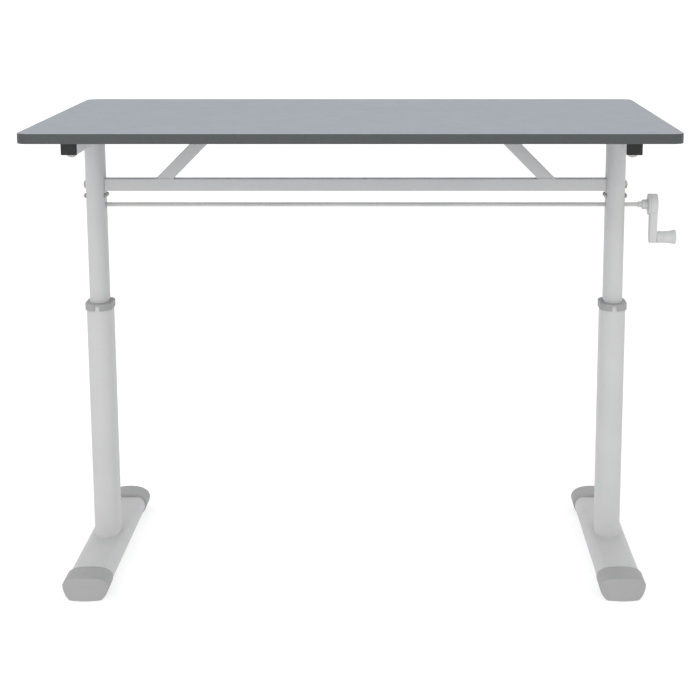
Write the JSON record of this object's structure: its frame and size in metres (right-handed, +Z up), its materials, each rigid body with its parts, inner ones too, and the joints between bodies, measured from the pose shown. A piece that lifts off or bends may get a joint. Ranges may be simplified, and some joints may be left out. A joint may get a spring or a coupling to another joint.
{
  "type": "height adjustable desk",
  "caption": "Crank-operated height adjustable desk: rectangular board on telescoping oval columns with long feet, a braced crossbar, and a drive rod turned by a side crank.",
  "frame": {"origin": "on the floor, in the middle of the whole desk's box, crank included", "axes": "+X to the crank's side, along the board's long side; +Y to the rear; +Z up"},
  "size_m": [1.2496, 0.75, 0.9185],
  "materials": {
    "laminate_board": "pale blue-grey laminate, satin, fine texture",
    "edge_band": "dark grey edge band, satin",
    "painted_steel": "light grey powder coat, satin",
    "grey_plastic": "mid grey moulded plastic, matt",
    "black_plastic": "black moulded plastic, matt",
    "crank_plastic": "light grey moulded plastic, satin",
    "zinc_plated_steel": "zinc plated",
    "bright_steel": "drawn bright steel",
    "cast_housing": "as cast",
    "bronze": "machined bronze"
  },
  "bodies": {
    "base": {"foot_tube_left": "painted_steel", "foot_cap_front_left": "grey_plastic", "foot_cap_rear_left": "grey_plastic", "outer_column_left": "painted_steel", "column_collar_left": "grey_plastic", "nut_post_left": "bright_steel", "lift_nut_left": "bronze", "foot_tube_right": "painted_steel", "foot_cap_front_right": "grey_plastic", "foot_cap_rear_right": "grey_plastic", "outer_column_right": "painted_steel", "column_collar_right": "grey_plastic", "nut_post_right": "bright_steel", "lift_nut_right": "bronze"},
    "top_frame": {"desktop": "laminate_board", "edge_band": "edge_band", "crossbar": "painted_steel", "side_rail_left": "painted_steel", "rail_cap_front_left": "black_plastic", "rail_cap_rear_left": "black_plastic", "rail_bolt_front_left": "zinc_plated_steel", "rail_bolt_rear_left": "zinc_plated_steel", "inner_tube_left": "painted_steel", "tube_glide_left": "black_plastic", "crossbar_bolt_left": "zinc_plated_steel", "brace_left": "painted_steel", "brace_screw_inner_left": "zinc_plated_steel", "brace_screw_outer_left": "zinc_plated_steel", "gearbox_left": "cast_housing", "gearbox_screw_inner_front_left": "zinc_plated_steel", "gearbox_screw_inner_rear_left": "zinc_plated_steel", "gearbox_screw_outer_front_left": "zinc_plated_steel", "gearbox_screw_outer_rear_left": "zinc_plated_steel", "side_rail_right": "painted_steel", "rail_cap_front_right": "black_plastic", "rail_cap_rear_right": "black_plastic", "rail_bolt_front_right": "zinc_plated_steel", "rail_bolt_rear_right": "zinc_plated_steel", "inner_tube_right": "painted_steel", "tube_glide_right": "black_plastic", "crossbar_bolt_right": "zinc_plated_steel", "brace_right": "painted_steel", "brace_screw_inner_right": "zinc_plated_steel", "brace_screw_outer_right": "zinc_plated_steel", "gearbox_right": "cast_housing", "gearbox_screw_inner_front_right": "zinc_plated_steel", "gearbox_screw_inner_rear_right": "zinc_plated_steel", "gearbox_screw_outer_front_right": "zinc_plated_steel", "gearbox_screw_outer_rear_right": "zinc_plated_steel"},
    "crank": {"drive_rod": "bright_steel", "rod_gear_left": "bright_steel", "rod_gear_right": "bright_steel", "crank_hub": "crank_plastic", "crank_arm": "crank_plastic", "knob_axle": "zinc_plated_steel"},
    "knob": {"knob": "crank_plastic"},
    "screw_left": {"lead_screw_left": "bright_steel", "screw_gear_left": "bright_steel"},
    "screw_right": {"lead_screw_right": "bright_steel", "screw_gear_right": "bright_steel"}
  },
  "joints": [
    {"name": "desk_lift", "type": "slide", "parent": "base", "child": "top_frame", "axis": [0, 0, 1], "range_m": [-0.185, 0.215]},
    {"name": "crank_turn", "type": "hinge", "parent": "top_frame", "child": "crank", "pos_m": [-0.02475, 0, 0.7375], "axis": [1, 0, 0], "range_deg": [-7741, 6661]},
    {"name": "lead_screw_left_turn", "type": "hinge", "parent": "top_frame", "child": "screw_left", "pos_m": [-0.54875, 0, 0.5], "axis": [0, 0, 1], "range_deg": [-6661, 7741]},
    {"name": "lead_screw_right_turn", "type": "hinge", "parent": "top_frame", "child": "screw_right", "pos_m": [0.49925, 0, 0.5], "axis": [0, 0, 1], "range_deg": [-6661, 7741]},
    {"name": "knob_spin", "type": "hinge", "parent": "crank", "child": "knob", "pos_m": [0.60525, 0, 0.6707], "axis": [1, 0, 0], "continuous": true}
  ],
  "couplings": [
    {"joint": "crank_turn", "follows": "desk_lift", "rad_per_m": -628.32},
    {"joint": "lead_screw_left_turn", "follows": "desk_lift", "rad_per_m": 628.32},
    {"joint": "lead_screw_right_turn", "follows": "desk_lift", "rad_per_m": 628.32}
  ]
}
